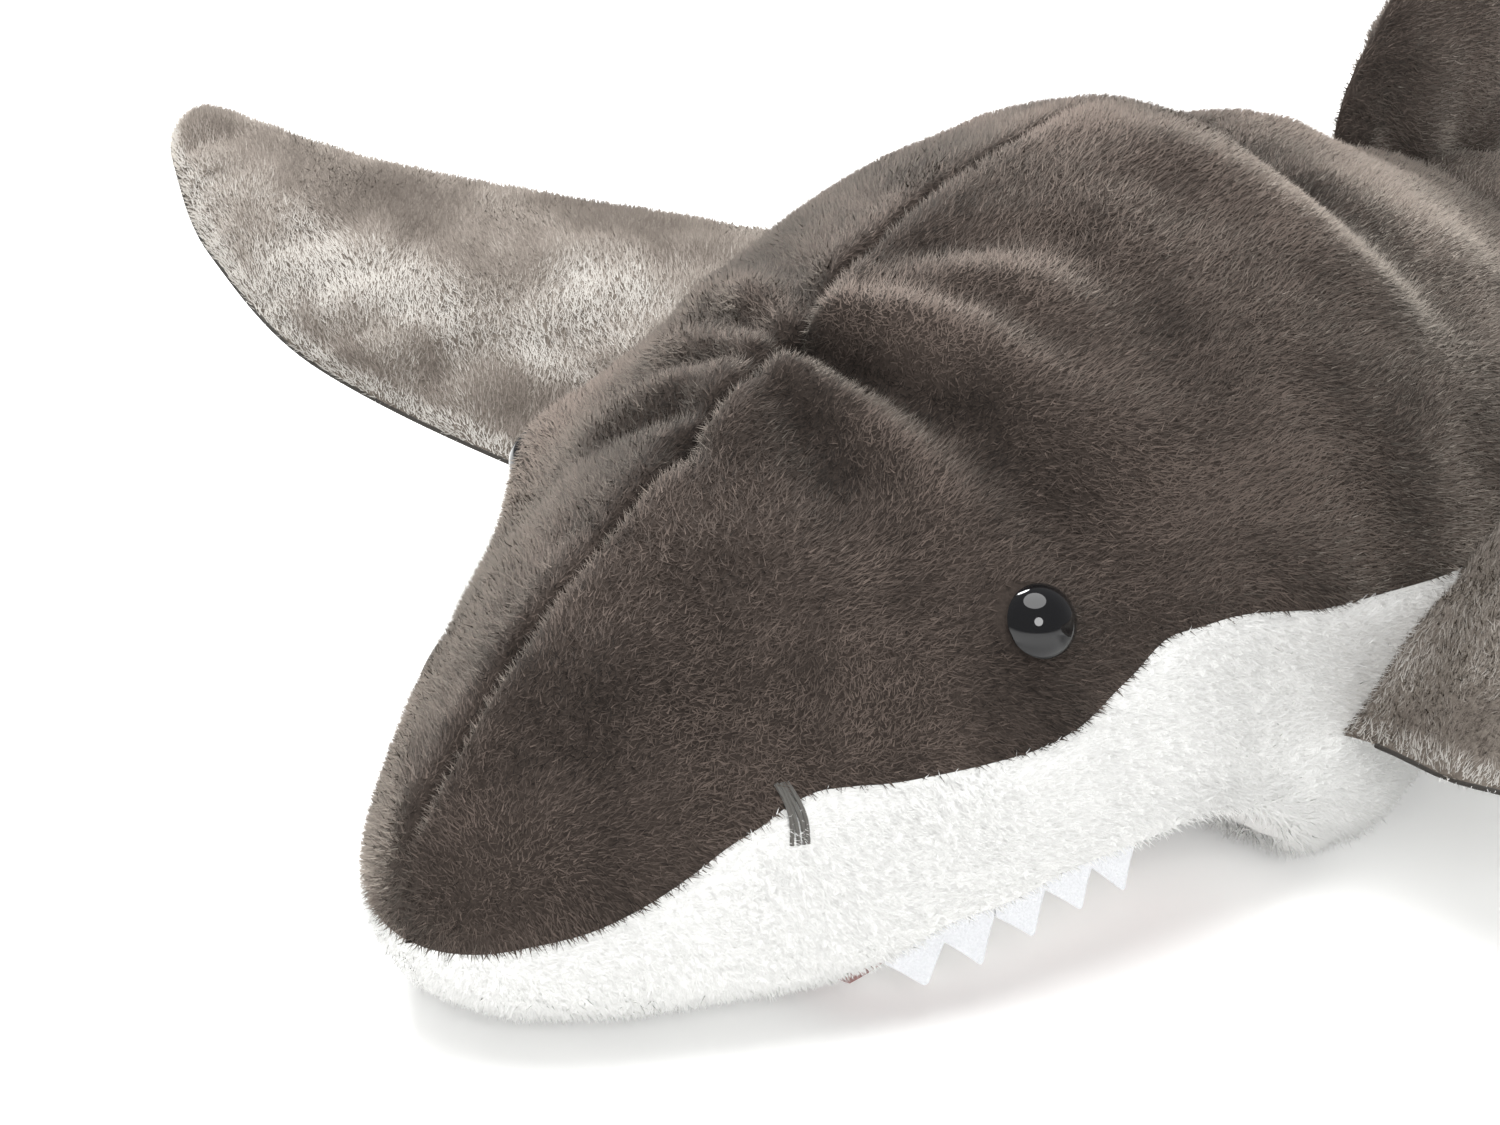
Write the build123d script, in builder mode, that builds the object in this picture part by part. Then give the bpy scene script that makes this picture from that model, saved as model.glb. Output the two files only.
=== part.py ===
from build123d import *
import os
from math import cos, pi, sin, sqrt

# A plush shark: fleece panels sewn over soft filling, stuffed fins sewn on at their roots,
# a soft lower jaw, felt teeth and two plastic eyes.
# Millimetres. The nose points along -Y, +Z is up and the shark's left side is +X.
# The origin is under the middle of the shark, on the surface that its belly rests on.
# Places along the shark are given as distances behind the tip of its nose.

os.makedirs("parts", exist_ok=True)

# Driving dimensions
LENGTH = 880  # nose to tail fin
PANEL = 3  # fleece with its pressed pile
FIN_PANEL = 2.5
SLACK = 0.4  # room between a panel and the filling behind it
LINING = 2  # mouth lining
FIN_GAP = 4  # room at a fin's root, which the soft seam takes up
SEAM_GAP = 0.8  # room between the tail and the body
MOUTH_GAP = 1.2  # room between the closed jaw and the palate
REST_GAP = 0.3  # room under trim that lies on a curved skin

# Sections of the body: distance, half width, top and bottom
BODY = (
    (0, 3, 50, 42),
    (6, 20, 65, 21),
    (20, 38, 81, 9),
    (50, 62, 106, 3),
    (100, 94, 137, 2),
    (150, 115, 164, 2),
    (200, 127, 183, 2),
    (250, 132, 194, -2),
    (295, 132, 196, -3),
    (350, 127, 182, -3),
    (410, 115, 164, -3),
    (480, 98, 146, -3),
    (560, 76, 127, -3),
    (640, 53, 111, 4),
    (710, 34, 100, 24),
    (760, 18, 94, 40),
    (782, 8, 90, 46),
)
SECTION_POINTS = 16
WAIST = 0.3  # where a section is widest, as a share of its height
CROWN = 1.7  # roundness above the waist
KEEL = 2.6  # roundness below it

# Where the grey back meets the white belly: distance and height
COLOUR_LINE = (
    (-20, 32), (0, 33), (26, 42), (57, 60), (90, 71), (140, 72), (166, 83),
    (199, 91), (240, 84), (320, 74), (440, 66), (600, 60), (700, 60), (800, 66),
)

# The tail bends about an upright line through its widest section
TAIL_PIVOT = 640
TAIL_RADIUS = 56

# The mouth in side view rises from the lip to its corner, ahead of the throat
LIP = (88, 15)
MOUTH_CORNER = (190, 45)
MOUTH = ((88, -10), LIP, MOUTH_CORNER, (225, 40), (250, -10))
THROAT_FOOT = 250
SLOPE = (MOUTH_CORNER[1] - LIP[1]) / (MOUTH_CORNER[0] - LIP[0])

# The lower jaw: a boat-shaped pad in the mouth, wider at its top
JAW_FRONT = 100
JAW_BACK = 206
JAW_BOTTOM = 3
JAW_TOP = 46
JAW_FLARE = 25  # degrees
JAW_HALF_WIDTHS = ((87, 75), (130, 95), (190, 104), (215, 104))  # at its top

# Felt teeth hang from the seam of the lip
TOOTH_PITCH = 18
TOOTH_HEIGHT = 12
TOOTH_RAKE = 5
FELT = 2
SIDE_TEETH = 5
FRONT_TEETH = 7
SIDE_ROW_START = (76, 92)  # half width and distance
SIDE_ROW_RUN = (31, 64)

# Eyes: domed buttons with shanks and washers
EYE_LINE = ((0, 144, 73), (87, 0, 28))  # a line out from the middle of the head
EYE_RADIUS = 10
EYE_HEIGHT = 6.5
SHANK_RADIUS = 2.5
SHANK_LENGTH = 12
WASHER_RADIUS = 9
WASHER_THICKNESS = 2
WASHER_DEPTH = 4.5

# Nostrils: four straight stitches each
NOSTRIL_LINE = ((0, 71, 66), (69, 0, 0))
STITCHES = 4
STITCH_LENGTH = 15
STITCH_RADIUS = 0.9
STITCH_PITCH = 2

# Fin sections: distance out from the root, leading edge, trailing edge and thickness
PECTORAL_ROOT = (133, 238, 49)  # half width, distance and height
PECTORAL_RISE = (0.22, 0.28)  # how the fin's plane climbs outwards and backwards
PECTORAL = (
    (-25, 0, 171, 6),
    (5, -3, 168, 9),
    (45, -17, 148, 30),
    (134, -26, 105, 28),
    (215, -8, 70, 20),
    (262, 18, 57, 12),
    (286, 40, 50, 4),
)
DORSAL_ROOT = (434, 158)  # distance and height
DORSAL_FALL = 0.24  # how the back falls behind it
DORSAL = (
    (-16, 0, 140, 6),
    (5, 1, 138, 9),
    (40, 18, 126, 26),
    (75, 48, 116, 20),
    (105, 82, 116, 11),
    (121, 103, 116, 4),
)
CAUDAL = (
    (5, 834, 844, 4),
    (28, 806, 838, 14),
    (66, 786, 828, 24),
    (105, 794, 834, 22),
    (150, 816, 852, 17),
    (195, 846, 872, 9),
    (216, 868, 880, 4),
)


def along(distance):
    """The Y of a place this far behind the tip of the nose."""
    return distance - LENGTH / 2


def lip_height(distance):
    """The height of the mouth's upper edge."""
    return LIP[1] + SLOPE * (distance - LIP[0])


def section_points(half_width, top, bottom):
    """One section of the body: rounded above its waist and squarer below."""
    waist = bottom + WAIST * (top - bottom)
    points = []
    for i in range(SECTION_POINTS):
        turn = 2 * pi * i / SECTION_POINTS
        across, upward = sin(turn), cos(turn)
        power = 2 / (CROWN if upward > 0 else KEEL)
        reach = top - waist if upward > 0 else bottom - waist
        side = 1 if across > 0 else -1
        points.append((side * half_width * abs(across) ** power, waist + reach * abs(upward) ** power))
    return points


def body_form(inset, stations=BODY):
    """The body as one closed form, its surface moved in by the inset."""
    with BuildPart() as form:
        for distance, half_width, top, bottom in stations:
            with BuildSketch(Plane.XZ.offset(-along(distance))):
                with BuildLine():
                    Spline(*section_points(half_width - inset, top - inset, bottom + inset), periodic=True)
                make_face()
        loft()
        split(bisect_by=Plane.XY.offset(inset), keep=Keep.TOP)
    return form.part


def core_form(depth):
    """The body this deep inside its surface."""
    distance, *sizes = BODY[-1]
    return body_form(depth, BODY[1:-1] + ((distance - depth, *sizes),))


def side_prism(points, growth=0):
    """A side-view outline, grown if asked, and carried right across the shark."""
    with BuildPart() as prism:
        with BuildSketch(Plane.YZ):
            with BuildLine():
                Polyline(*[(along(distance), height) for distance, height in points], close=True)
            make_face()
            if growth:
                offset(amount=growth, kind=Kind.INTERSECTION)
        extrude(amount=LENGTH / 4, both=True)
    return prism.part


def tail_zone(gap):
    """Everything behind the bend of the tail, with a round front that turns in the body."""
    with BuildPart() as zone:
        with BuildSketch():
            with Locations((0, along(TAIL_PIVOT))):
                Circle(TAIL_RADIUS + gap)
            with Locations((0, along(TAIL_PIVOT) - gap)):
                Rectangle(LENGTH, LENGTH, align=(Align.CENTER, Align.MIN))
        extrude(amount=LENGTH / 2, both=True)
    return zone.part


def jaw_form(inset):
    """The lower jaw as one closed form."""
    profile = (
        (JAW_FRONT, JAW_BOTTOM),
        (JAW_FRONT, lip_height(JAW_FRONT) - MOUTH_GAP),
        (MOUTH_CORNER[0], MOUTH_CORNER[1] - MOUTH_GAP),
        (JAW_BACK, MOUTH_CORNER[1] - 3 * MOUTH_GAP),
        (JAW_BACK, JAW_BOTTOM),
    )
    left = [(half_width - inset, along(distance)) for distance, half_width in JAW_HALF_WIDTHS]
    right = [(-x, y) for x, y in reversed(left)]
    with BuildPart() as form:
        with BuildSketch(Plane.XY.offset(JAW_TOP)):
            with BuildLine():
                Polyline(*left, *right, close=True)
            make_face()
        extrude(amount=JAW_BOTTOM - JAW_TOP, taper=JAW_FLARE)
        add(side_prism(profile, -inset), mode=Mode.INTERSECT)
    return form.part


def tooth_row(place, count):
    """A strip of felt teeth on a plane: x along the lip, y up."""
    zigzag = [(0, 0)]
    for i in range(count):
        zigzag.append((i * TOOTH_PITCH, -FELT))
        zigzag.append(((i + 1) * TOOTH_PITCH - TOOTH_RAKE, -TOOTH_HEIGHT))
    zigzag.append((count * TOOTH_PITCH, -FELT))
    zigzag.append((count * TOOTH_PITCH, 0))
    with BuildPart() as row:
        with BuildSketch(place):
            with BuildLine():
                Polyline(*zigzag, close=True)
            make_face()
        extrude(amount=FELT / 2, both=True)
    return row.part


def fin_form(stations, root, chord, outwards):
    """A stuffed fin: pointed oval sections from its root to its tip."""
    with BuildPart() as form:
        for reach, leading, trailing, thickness in stations:
            middle = (leading + trailing) / 2
            with BuildSketch(Plane(root + outwards * reach, x_dir=chord, z_dir=outwards)):
                with BuildLine():
                    ThreePointArc((leading, 0), (middle, thickness / 2), (trailing, 0))
                    ThreePointArc((trailing, 0), (middle, -thickness / 2), (leading, 0))
                make_face()
        loft()
    return form.part


def fin_core(stations, depth):
    """The sections of a fin, this deep inside its surface."""
    inner = stations[1:-1]
    moves = [depth] + [0] * (len(inner) - 2) + [-depth]
    return [
        (reach + move, leading + 3 * depth, trailing - 3 * depth, thickness - 2 * depth)
        for move, (reach, leading, trailing, thickness) in zip(moves, inner)
    ]


def on_skin(line):
    """A plane on the outer skin where a line from inside comes out, with x level and y upwards."""
    (x, distance, z), direction = line
    hits = body_skin.part.find_intersection_points(Axis((x, along(distance), z), direction))
    point, normal = max(hits, key=lambda hit: hit[0].X)
    return Plane(point, x_dir=Vector(0, 0, 1).cross(normal), z_dir=normal)


# ---- Forms that the pieces are cut from ----
with BuildPart() as body_skin:
    add(body_form(0))

with BuildPart() as fleece:
    add(body_skin.part)
    add(core_form(PANEL), mode=Mode.SUBTRACT)

with BuildPart() as core:
    add(core_form(PANEL + SLACK))

above_line = side_prism(COLOUR_LINE + ((800, 300), (-20, 300)))
below_line = side_prism(COLOUR_LINE + ((800, -50), (-20, -50)))
behind_throat = side_prism(((THROAT_FOOT, -50), (THROAT_FOOT, 300), (LENGTH, 300), (LENGTH, -50)))
behind_corner = side_prism(((MOUTH_CORNER[0], -50), (MOUTH_CORNER[0], 300), (LENGTH, 300), (LENGTH, -50)))
mouth = side_prism(MOUTH)
lined_mouth = side_prism(MOUTH, LINING)

# ---- Eyes: each has a shank through the fleece and a washer that holds it ----
eye_place = on_skin(EYE_LINE)
eye_axis = Axis(eye_place.origin, eye_place.z_dir)
eye_profile = Plane(eye_place.origin, x_dir=eye_place.x_dir, z_dir=-eye_place.y_dir)
dome_height = EYE_HEIGHT - REST_GAP
dome_radius = (EYE_RADIUS**2 + dome_height**2) / (2 * dome_height)

with BuildPart() as eye_left:
    with BuildSketch(eye_profile):
        with BuildLine():
            Polyline(
                (0, EYE_HEIGHT), (0, -SHANK_LENGTH), (SHANK_RADIUS, -SHANK_LENGTH),
                (SHANK_RADIUS, REST_GAP), (EYE_RADIUS, REST_GAP),
            )
            RadiusArc((EYE_RADIUS, REST_GAP), (0, EYE_HEIGHT), -dome_radius)
        make_face()
    revolve(axis=eye_axis)

with BuildPart() as eye_washer_left:
    with BuildSketch(eye_place.offset(-WASHER_DEPTH)):
        Circle(WASHER_RADIUS)
        Circle(SHANK_RADIUS + REST_GAP / 2, mode=Mode.SUBTRACT)
    extrude(amount=-WASHER_THICKNESS)

with BuildPart() as shank_hole:
    with BuildSketch(eye_place.offset(REST_GAP)):
        Circle(SHANK_RADIUS + REST_GAP)
    extrude(amount=-SHANK_LENGTH)

with BuildPart() as eye_pocket:
    with BuildSketch(eye_place):
        Circle(WASHER_RADIUS + REST_GAP)
    extrude(amount=-SHANK_LENGTH - REST_GAP)

# ---- Nostrils: straight stitches that lie on the fleece ----
nostril_place = on_skin(NOSTRIL_LINE)
stitch_centre = nostril_place.offset(STITCH_RADIUS + REST_GAP).origin

with BuildPart() as nostril_stitch_left:
    with BuildSketch(Plane(stitch_centre, x_dir=nostril_place.x_dir, z_dir=nostril_place.y_dir)):
        with GridLocations(STITCH_PITCH, 0, STITCHES, 1):
            Circle(STITCH_RADIUS)
    extrude(amount=STITCH_LENGTH / 2, both=True)

# ---- Body panels ----
with BuildPart() as back:
    add(fleece.part)
    add(above_line, mode=Mode.INTERSECT)
    add(tail_zone(SEAM_GAP), mode=Mode.SUBTRACT)
    add(shank_hole.part, mode=Mode.SUBTRACT)
    mirror(shank_hole.part, about=Plane.YZ, mode=Mode.SUBTRACT)

with BuildPart() as back_panel_left:
    add(back.part)
    split(bisect_by=Plane.YZ, keep=Keep.TOP)

with BuildPart() as back_panel_right:
    add(back.part)
    split(bisect_by=Plane.YZ, keep=Keep.BOTTOM)

with BuildPart() as cheeks:
    add(fleece.part)
    add(below_line, mode=Mode.INTERSECT)
    add(mouth, mode=Mode.SUBTRACT)
    add(behind_throat, mode=Mode.SUBTRACT)

with BuildPart() as cheek_panel_left:
    add(cheeks.part)
    split(bisect_by=Plane.YZ, keep=Keep.TOP)

with BuildPart() as cheek_panel_right:
    add(cheeks.part)
    split(bisect_by=Plane.YZ, keep=Keep.BOTTOM)

with BuildPart() as belly_panel:
    add(fleece.part)
    add(below_line, mode=Mode.INTERSECT)
    add(behind_throat, mode=Mode.INTERSECT)
    add(tail_zone(SEAM_GAP), mode=Mode.SUBTRACT)

with BuildPart() as palate_lining:
    add(core.part)
    add(lined_mouth, mode=Mode.INTERSECT)
    add(mouth, mode=Mode.SUBTRACT)
    add(behind_corner, mode=Mode.SUBTRACT)

with BuildPart() as throat_panel:
    add(core.part)
    add(lined_mouth, mode=Mode.INTERSECT)
    add(mouth, mode=Mode.SUBTRACT)
    add(behind_corner, mode=Mode.INTERSECT)

with BuildPart() as body_filling:
    add(core.part)
    add(lined_mouth, mode=Mode.SUBTRACT)
    add(tail_zone(SEAM_GAP), mode=Mode.SUBTRACT)
    add(eye_pocket.part, mode=Mode.SUBTRACT)
    mirror(eye_pocket.part, about=Plane.YZ, mode=Mode.SUBTRACT)

# ---- Teeth ----
row_x, row_distance = SIDE_ROW_START
row_run = Vector(SIDE_ROW_RUN[0], SIDE_ROW_RUN[1], SIDE_ROW_RUN[1] * SLOPE)
row_origin = Vector(row_x, along(row_distance), lip_height(row_distance) - REST_GAP)
row_outwards = row_run.cross(Vector(0, 0, 1))
side_row_place = Plane(row_origin, x_dir=row_run, z_dir=row_outwards)

with BuildPart() as upper_teeth_left:
    add(tooth_row(side_row_place, SIDE_TEETH))

front_row_distance = LIP[0] + FELT
front_row_place = Plane(
    (-FRONT_TEETH * TOOTH_PITCH / 2, along(front_row_distance), lip_height(front_row_distance) - 2 * REST_GAP),
    x_dir=(1, 0, 0),
    z_dir=(0, -1, 0),
)

with BuildPart() as upper_teeth_front:
    add(tooth_row(front_row_place, FRONT_TEETH))

# ---- Lower jaw: a cover, its lining on top and the filling between them ----
lining_plane = Plane(
    (0, along(LIP[0]), LIP[1] - MOUTH_GAP - LINING * sqrt(1 + SLOPE**2)), z_dir=(0, -SLOPE, 1)
)

with BuildPart() as lower_jaw_filling:
    add(jaw_form(PANEL))

with BuildPart() as jaw_shell:
    add(jaw_form(0))
    add(lower_jaw_filling.part, mode=Mode.SUBTRACT)

with BuildPart() as lower_jaw_cover:
    add(jaw_shell.part)
    split(bisect_by=lining_plane, keep=Keep.BOTTOM)

with BuildPart() as lower_jaw_lining:
    add(jaw_shell.part)
    split(bisect_by=lining_plane, keep=Keep.TOP)

# ---- Tail ----
with BuildPart() as tail_back:
    add(fleece.part)
    add(above_line, mode=Mode.INTERSECT)
    add(tail_zone(0), mode=Mode.INTERSECT)

with BuildPart() as tail_panel_left:
    add(tail_back.part)
    split(bisect_by=Plane.YZ, keep=Keep.TOP)

with BuildPart() as tail_panel_right:
    add(tail_back.part)
    split(bisect_by=Plane.YZ, keep=Keep.BOTTOM)

with BuildPart() as tail_belly_panel:
    add(fleece.part)
    add(below_line, mode=Mode.INTERSECT)
    add(tail_zone(0), mode=Mode.INTERSECT)

with BuildPart() as tail_filling:
    add(core.part)
    add(tail_zone(0), mode=Mode.INTERSECT)

# ---- Fins: two panels each, joined round the edge, over a filling ----
clear_of_body = body_form(-FIN_GAP)

pectoral_root = Vector(PECTORAL_ROOT[0], along(PECTORAL_ROOT[1]), PECTORAL_ROOT[2])
pectoral_outwards = Vector(1, 0, PECTORAL_RISE[0]).normalized()
pectoral_up = Vector(-PECTORAL_RISE[0], -PECTORAL_RISE[1], 1).normalized()
pectoral_chord = pectoral_up.cross(pectoral_outwards)
pectoral_plane = Plane(pectoral_root, x_dir=pectoral_chord, z_dir=pectoral_up)

with BuildPart() as left_fin_shell:
    add(fin_form(PECTORAL, pectoral_root, pectoral_chord, pectoral_outwards))
    add(clear_of_body, mode=Mode.SUBTRACT)
    add(
        fin_form(fin_core(PECTORAL, FIN_PANEL), pectoral_root, pectoral_chord, pectoral_outwards),
        mode=Mode.SUBTRACT,
    )

with BuildPart() as left_fin_filling:
    add(fin_form(fin_core(PECTORAL, FIN_PANEL + SLACK), pectoral_root, pectoral_chord, pectoral_outwards))

with BuildPart() as left_fin_top:
    add(left_fin_shell.part)
    split(bisect_by=pectoral_plane, keep=Keep.TOP)

with BuildPart() as left_fin_underside:
    add(left_fin_shell.part)
    split(bisect_by=pectoral_plane, keep=Keep.BOTTOM)

dorsal_root = Vector(0, along(DORSAL_ROOT[0]), DORSAL_ROOT[1])
dorsal_chord = Vector(0, 1, -DORSAL_FALL).normalized()
dorsal_outwards = Vector(0, DORSAL_FALL, 1).normalized()

with BuildPart() as dorsal_fin_panel_left:
    add(fin_form(DORSAL, dorsal_root, dorsal_chord, dorsal_outwards))
    add(clear_of_body, mode=Mode.SUBTRACT)
    add(fin_form(fin_core(DORSAL, FIN_PANEL), dorsal_root, dorsal_chord, dorsal_outwards), mode=Mode.SUBTRACT)
    split(bisect_by=Plane.YZ, keep=Keep.TOP)

with BuildPart() as dorsal_fin_filling:
    add(fin_form(fin_core(DORSAL, FIN_PANEL + SLACK), dorsal_root, dorsal_chord, dorsal_outwards))

caudal_root = Vector(0, along(0), 0)
caudal_chord = Vector(0, 1, 0)
caudal_outwards = Vector(0, 0, 1)

with BuildPart() as tail_fin_panel_left:
    add(fin_form(CAUDAL, caudal_root, caudal_chord, caudal_outwards))
    add(fin_form(fin_core(CAUDAL, FIN_PANEL), caudal_root, caudal_chord, caudal_outwards), mode=Mode.SUBTRACT)
    split(bisect_by=Plane.YZ, keep=Keep.TOP)

with BuildPart() as tail_fin_filling:
    add(fin_form(fin_core(CAUDAL, FIN_PANEL + SLACK), caudal_root, caudal_chord, caudal_outwards))

# ---- Write every piece; the small pieces and fins on the right mirror the left ones ----
pieces = {
    "back_panel_left": back_panel_left,
    "back_panel_right": back_panel_right,
    "cheek_panel_left": cheek_panel_left,
    "cheek_panel_right": cheek_panel_right,
    "belly_panel": belly_panel,
    "palate_lining": palate_lining,
    "throat_panel": throat_panel,
    "body_filling": body_filling,
    "upper_teeth_front": upper_teeth_front,
    "lower_jaw_cover": lower_jaw_cover,
    "lower_jaw_lining": lower_jaw_lining,
    "lower_jaw_filling": lower_jaw_filling,
    "tail_panel_left": tail_panel_left,
    "tail_panel_right": tail_panel_right,
    "tail_belly_panel": tail_belly_panel,
    "tail_filling": tail_filling,
    "dorsal_fin_filling": dorsal_fin_filling,
    "tail_fin_filling": tail_fin_filling,
}
mirrored_pieces = {
    "upper_teeth_left": upper_teeth_left,
    "eye_left": eye_left,
    "eye_washer_left": eye_washer_left,
    "nostril_stitch_left": nostril_stitch_left,
    "dorsal_fin_panel_left": dorsal_fin_panel_left,
    "tail_fin_panel_left": tail_fin_panel_left,
    "left_fin_top": left_fin_top,
    "left_fin_underside": left_fin_underside,
    "left_fin_filling": left_fin_filling,
}

for label, piece in (pieces | mirrored_pieces).items():
    piece.part.label = label
    export_step(piece.part, f"parts/{label}.step")

for label, left_piece in mirrored_pieces.items():
    with BuildPart() as right_piece:
        mirror(left_piece.part, about=Plane.YZ)
    right_piece.part.label = label.replace("left", "right")
    export_step(right_piece.part, f"parts/{right_piece.part.label}.step")
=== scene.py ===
import bpy
import numpy as np
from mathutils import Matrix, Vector


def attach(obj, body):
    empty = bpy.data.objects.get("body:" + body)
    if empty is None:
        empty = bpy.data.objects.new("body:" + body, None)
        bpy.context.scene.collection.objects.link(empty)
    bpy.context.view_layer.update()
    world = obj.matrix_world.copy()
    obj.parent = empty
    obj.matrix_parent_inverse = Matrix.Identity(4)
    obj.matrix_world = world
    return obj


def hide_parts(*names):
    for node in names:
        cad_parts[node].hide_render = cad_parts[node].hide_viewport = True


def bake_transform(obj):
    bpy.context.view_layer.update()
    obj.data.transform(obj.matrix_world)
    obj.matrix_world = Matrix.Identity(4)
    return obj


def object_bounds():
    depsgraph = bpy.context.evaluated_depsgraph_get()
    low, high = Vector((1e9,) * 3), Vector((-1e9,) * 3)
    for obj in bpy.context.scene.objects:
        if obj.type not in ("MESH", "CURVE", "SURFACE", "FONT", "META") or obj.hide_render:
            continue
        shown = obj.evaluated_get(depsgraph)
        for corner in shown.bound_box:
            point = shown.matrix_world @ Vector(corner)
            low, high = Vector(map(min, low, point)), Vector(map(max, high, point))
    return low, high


# A plush shark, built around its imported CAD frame.
# Shapes are worked out in millimetres as (x, distance behind the nose, height) and turned
# into metres in the frame when their mesh is made. The shark's left side is +X.

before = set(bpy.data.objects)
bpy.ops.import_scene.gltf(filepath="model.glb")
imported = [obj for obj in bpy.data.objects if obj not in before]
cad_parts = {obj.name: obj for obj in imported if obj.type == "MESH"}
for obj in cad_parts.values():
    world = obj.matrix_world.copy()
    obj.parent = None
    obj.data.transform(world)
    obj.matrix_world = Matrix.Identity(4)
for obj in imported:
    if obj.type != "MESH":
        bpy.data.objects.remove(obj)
cad_low, cad_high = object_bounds()
NOSE_Y = cad_low.y * 1000  # the tip of the nose in the frame
MM = 0.001

# ---- Sizes ----
PILE_SKIN = 1.6  # how far the cloth lies under the tips of the pile
FLOOR_GAP = 0.4  # the lowest that the body's cloth comes to the floor
PILE_FLOOR_GAP = 0.2  # and the lowest that pile comes

# Body sections: distance, half width, top, bottom, waist share, roundness above and below
SECTIONS = (
    (0, 0, 48, 44, 0.50, 2.0, 2.0),
    (5, 20, 65, 22, 0.40, 1.9, 2.0),
    (20, 39, 83, 8, 0.34, 1.85, 2.2),
    (50, 63, 107, 2, 0.28, 1.75, 2.4),
    (100, 94, 138, 2, 0.24, 1.65, 2.8),
    (150, 115, 163, 2, 0.22, 1.65, 3.0),
    (200, 127, 183, 2, 0.23, 1.7, 3.6),
    (250, 132, 194, 0, 0.26, 1.7, 5.0),
    (290, 132, 196, 0, 0.28, 1.7, 4.4),
    (340, 128, 185, 0, 0.31, 1.75, 3.6),
    (410, 115, 161, 0, 0.34, 1.8, 2.9),
    (480, 98, 142, 0, 0.38, 1.9, 2.4),
    (560, 76, 127, 0, 0.42, 2.0, 2.3),
    (640, 54, 111, 3, 0.45, 2.0, 2.1),
    (710, 34, 100, 22, 0.50, 2.0, 2.0),
    (760, 18, 94, 40, 0.50, 2.0, 2.0),
    (784, 8, 90, 46, 0.50, 2.0, 2.0),
    (796, 4, 85, 52, 0.50, 2.0, 2.0),
)
BODY_END = 796

# Where the grey back meets the white belly: distance and height
COLOUR_LINE = (
    (0, 33), (10, 37), (26, 42), (38, 48), (48, 54), (57, 60), (65, 64), (74, 69),
    (82, 71), (100, 70), (129, 71), (147, 74), (166, 83), (185, 91), (199, 91),
    (240, 84), (320, 74), (440, 66), (600, 60), (700, 60), (796, 67),
)

# The underside of the head in side view: the lip climbs to the mouth's corner, then falls to the throat
LIP = (
    (84, -10), (90, 10), (96, 19), (104, 26), (118, 30), (130, 34), (143, 37), (158, 39),
    (175, 40), (190, 38), (205, 32), (218, 23), (229, 12), (238, 2), (246, -10),
)
LIP_ROUNDING = 5


def curve(points):
    """A smooth curve through points that doesn't overshoot them (monotone cubic)."""
    x, y = np.array(points, float).T
    h, slope = np.diff(x), np.diff(y) / np.diff(x)
    tangent = np.zeros_like(y)
    same = slope[:-1] * slope[1:] > 0
    w1, w2 = 2 * h[1:] + h[:-1], h[1:] + 2 * h[:-1]
    with np.errstate(divide="ignore", invalid="ignore"):
        mean = (w1 + w2) / (w1 / slope[:-1] + w2 / slope[1:])
    tangent[1:-1] = np.where(same, mean, 0)
    tangent[0], tangent[-1] = slope[0], slope[-1]

    def value(at):
        at = np.clip(at, x[0], x[-1])
        i = np.clip(np.searchsorted(x, at, side="right") - 1, 0, len(h) - 1)
        t = (at - x[i]) / h[i]
        return (
            (1 + 2 * t) * (1 - t) ** 2 * y[i]
            + t * (1 - t) ** 2 * h[i] * tangent[i]
            + t * t * (3 - 2 * t) * y[i + 1]
            + t * t * (t - 1) * h[i] * tangent[i + 1]
        )

    return value


# the nose is round, so its sections are joined by the square root of their distance
section_curves = [curve([(row[0] ** 0.5, row[k]) for row in SECTIONS]) for k in range(1, 7)]
colour_height = curve(COLOUR_LINE)
lip_curve = curve(LIP)


def smoothstep(low, high, value):
    t = np.clip((value - low) / (high - low), 0, 1)
    return t * t * (3 - 2 * t)


def lip_height(distance):
    """How high the underside of the head is; far below the floor where there is no mouth."""
    inside = (distance > LIP[0][0]) & (distance < LIP[-1][0])
    return np.where(inside, lip_curve(distance), -100.0)


def body_point(distance, turn, side):
    """The plain body: turn is 0 along the back's seam and pi along the belly."""
    width, top, bottom, waist, crown, keel = [c(np.sqrt(distance)) for c in section_curves]
    middle = bottom + waist * (top - bottom)
    across, upward = np.sin(turn), np.cos(turn)
    power = 2 / np.where(upward > 0, crown, keel)
    x = width * np.clip(across, 0, 1) ** power
    z = middle + np.where(upward > 0, top - middle, bottom - middle) * np.abs(upward) ** power
    lip = lip_height(distance)
    gap = (lip - z) / LIP_ROUNDING
    z = z + LIP_ROUNDING * np.log1p(np.exp(np.clip(gap, -30, 30))) * (lip > -50)
    return np.stack([side * x, distance * np.ones_like(x), z], -1)


def turn_at_height(distance, height):
    """The turn at which the body's side reaches a height."""
    width, top, bottom, waist, crown, keel = [c(np.sqrt(distance)) for c in section_curves]
    middle = bottom + waist * (top - bottom)
    above = height > middle
    reach = np.where(above, top - middle, middle - bottom)
    share = np.clip(np.abs(height - middle) / reach, 0, 1) ** (np.where(above, crown, keel) / 2)
    return np.where(above, np.arccos(share), np.pi - np.arccos(share))


def lip_edge(distance):
    """Half width of the body where its side turns in to the lip."""
    height = lip_curve(distance) + 4
    return body_point(distance, turn_at_height(distance, height), 1)[..., 0]


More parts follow.
